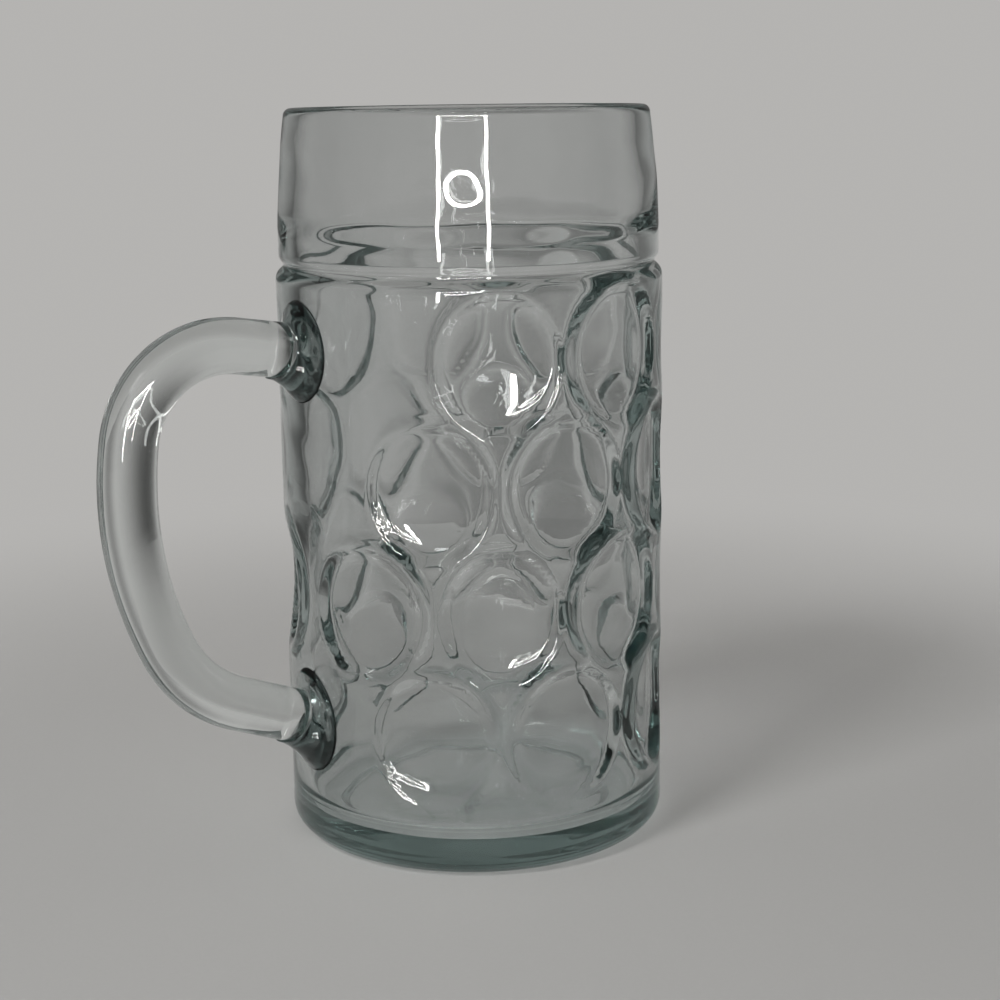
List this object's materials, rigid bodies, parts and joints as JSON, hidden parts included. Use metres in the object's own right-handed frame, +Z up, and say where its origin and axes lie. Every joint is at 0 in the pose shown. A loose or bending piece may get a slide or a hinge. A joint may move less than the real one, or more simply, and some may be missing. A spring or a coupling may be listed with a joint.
{
  "type": "dimpled glass beer mug",
  "caption": "Heavy clear glass mug with a plain rim band, a barrel of staggered round dimples, a thick foot and a solid glass loop handle fused on at two flared bosses.",
  "frame": {"origin": "on the vessel's axis, in the plane of the foot ring that the mug stands on", "axes": "+Z up along the vessel's axis; the handle points along -X in the XZ plane; +Y completes the right-handed frame"},
  "size_m": [0.1614, 0.105, 0.198],
  "materials": {
    "clear_glass": "clear, fire polished, with a slight waviness",
    "boss_glass": "clear, thick, grey-green at its core",
    "handle_glass": "clear, fire polished"
  },
  "bodies": {
    "root": {"mug_body": "clear_glass", "upper_handle_boss": "boss_glass", "lower_handle_boss": "boss_glass", "handle": "handle_glass"}
  },
  "joints": []
}
